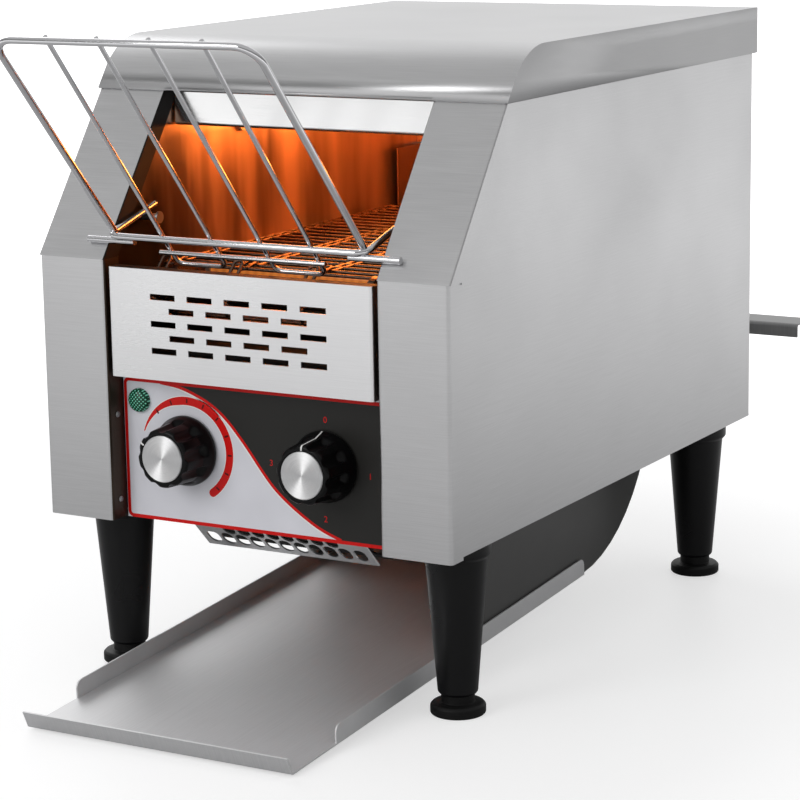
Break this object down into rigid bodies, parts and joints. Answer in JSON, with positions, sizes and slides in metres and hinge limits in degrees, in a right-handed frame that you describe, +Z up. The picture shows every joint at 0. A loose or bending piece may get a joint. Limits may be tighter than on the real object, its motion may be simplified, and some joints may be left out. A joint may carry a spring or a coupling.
{
  "type": "conveyor toaster",
  "caption": "Counter-top conveyor toaster: folded sheet body on tapered legs, wire feed rack, wire belt between quartz heaters, return chute, pull-out tray, knobs and a vented front.",
  "frame": {"origin": "on the table, under the middle of the whole length and width", "axes": "X to the user's right, +Y from the feed end to the back, +Z up"},
  "size_m": [0.296, 0.686, 0.4168],
  "materials": {
    "body_steel": "brushed",
    "inner_steel": "satin",
    "tray_steel": "brushed",
    "belt_steel": "heat-tinted",
    "wire_chrome": "polished",
    "shaft_steel": "turned",
    "bronze": "turned",
    "quartz": "translucent",
    "ceramic": "matt",
    "chute_coat": "semi-gloss",
    "overlay": "satin",
    "lens": "glossy",
    "switch_plastic": "matt",
    "black_plastic": "semi-gloss",
    "knob_plastic": "semi-gloss",
    "disc_aluminium": "spun",
    "motor_metal": "cast",
    "foot_rubber": "matt"
  },
  "bodies": {
    "cabinet": {"side_panel_left": "body_steel", "side_panel_right": "body_steel", "slant_stile_left": "body_steel", "slant_stile_right": "body_steel", "top_cover": "body_steel", "back_panel": "body_steel", "base_plate": "body_steel", "front_vent_panel": "body_steel", "control_panel": "body_steel", "control_overlay": "overlay", "front_guard": "body_steel", "inner_guard": "inner_steel", "heat_shield": "inner_steel", "inner_wall_left": "inner_steel", "inner_wall_right": "inner_steel", "upper_reflector": "inner_steel", "rear_deflector": "inner_steel", "lower_reflector": "inner_steel", "upper_heaters": "quartz", "lower_heaters": "quartz", "heater_insulators": "ceramic", "conveyor_belt": "belt_steel", "shaft_bushes": "bronze", "return_chute": "chute_coat", "speed_control": "switch_plastic", "selector_switch": "switch_plastic", "indicator_lamp": "black_plastic", "indicator_lens": "lens", "gear_motor": "motor_metal", "motor_bracket": "inner_steel", "drive_chain": "belt_steel", "terminal_block": "ceramic", "cable_gland": "black_plastic", "rear_spacer": "body_steel", "rack_studs": "body_steel", "cover_screws": "body_steel", "leg_front_left": "black_plastic", "leg_front_right": "black_plastic", "leg_rear_left": "black_plastic", "leg_rear_right": "black_plastic"},
    "speed_knob_body": {"speed_knob": "knob_plastic", "speed_knob_disc": "disc_aluminium", "speed_spindle": "shaft_steel"},
    "selector_knob_body": {"selector_knob": "knob_plastic", "selector_knob_disc": "disc_aluminium", "selector_spindle": "shaft_steel"},
    "rear_belt_shaft": {"drive_shaft": "shaft_steel", "drive_sprockets": "belt_steel", "driven_chain_wheel": "shaft_steel"},
    "front_belt_shaft": {"idler_shaft": "shaft_steel", "idler_sprockets": "belt_steel"},
    "motor_output": {"motor_shaft": "shaft_steel", "motor_chain_wheel": "shaft_steel"},
    "tray": {"output_tray": "tray_steel"},
    "rack": {"feed_rack": "wire_chrome"},
    "adjuster_front_left": {"foot_front_left": "foot_rubber"},
    "adjuster_front_right": {"foot_front_right": "foot_rubber"},
    "adjuster_rear_left": {"foot_rear_left": "foot_rubber"},
    "adjuster_rear_right": {"foot_rear_right": "foot_rubber"}
  },
  "joints": [
    {"name": "speed_knob_turn", "type": "hinge", "parent": "cabinet", "child": "speed_knob_body", "pos_m": [-0.049, -0.23583, 0.1525], "axis": [0, 1, 0], "range_deg": [-15, 210]},
    {"name": "selector_knob_turn", "type": "hinge", "parent": "cabinet", "child": "selector_knob_body", "pos_m": [0.0505, -0.23583, 0.1525], "axis": [0, 1, 0], "continuous": true},
    {"name": "rear_shaft_spin", "type": "hinge", "parent": "cabinet", "child": "rear_belt_shaft", "pos_m": [0, 0.09157, 0.24541], "axis": [1, 0, 0], "continuous": true, "deforming": ["conveyor_belt", "drive_chain"]},
    {"name": "front_shaft_spin", "type": "hinge", "parent": "cabinet", "child": "front_belt_shaft", "pos_m": [0, -0.18783, 0.24541], "axis": [1, 0, 0], "continuous": true},
    {"name": "motor_shaft_spin", "type": "hinge", "parent": "cabinet", "child": "motor_output", "pos_m": [0.1042, 0.09157, 0.17556], "axis": [1, 0, 0], "continuous": true},
    {"name": "tray_pull", "type": "slide", "parent": "cabinet", "child": "tray", "axis": [0, -1, 0], "range_m": [0, 0.16]},
    {"name": "rack_lift", "type": "slide", "parent": "cabinet", "child": "rack", "axis": [0, -0.6429, 0.7659], "range_m": [0, 0.12]},
    {"name": "foot_front_left_screw", "type": "slide", "parent": "cabinet", "child": "adjuster_front_left", "axis": [0, 0, -1], "range_m": [0, 0.012]},
    {"name": "foot_front_right_screw", "type": "slide", "parent": "cabinet", "child": "adjuster_front_right", "axis": [0, 0, -1], "range_m": [0, 0.012]},
    {"name": "foot_rear_left_screw", "type": "slide", "parent": "cabinet", "child": "adjuster_rear_left", "axis": [0, 0, -1], "range_m": [0, 0.012]},
    {"name": "foot_rear_right_screw", "type": "slide", "parent": "cabinet", "child": "adjuster_rear_right", "axis": [0, 0, -1], "range_m": [0, 0.012]}
  ],
  "couplings": [
    {"joint": "front_shaft_spin", "follows": "rear_shaft_spin", "ratio": 1},
    {"joint": "motor_shaft_spin", "follows": "rear_shaft_spin", "ratio": 1}
  ]
}
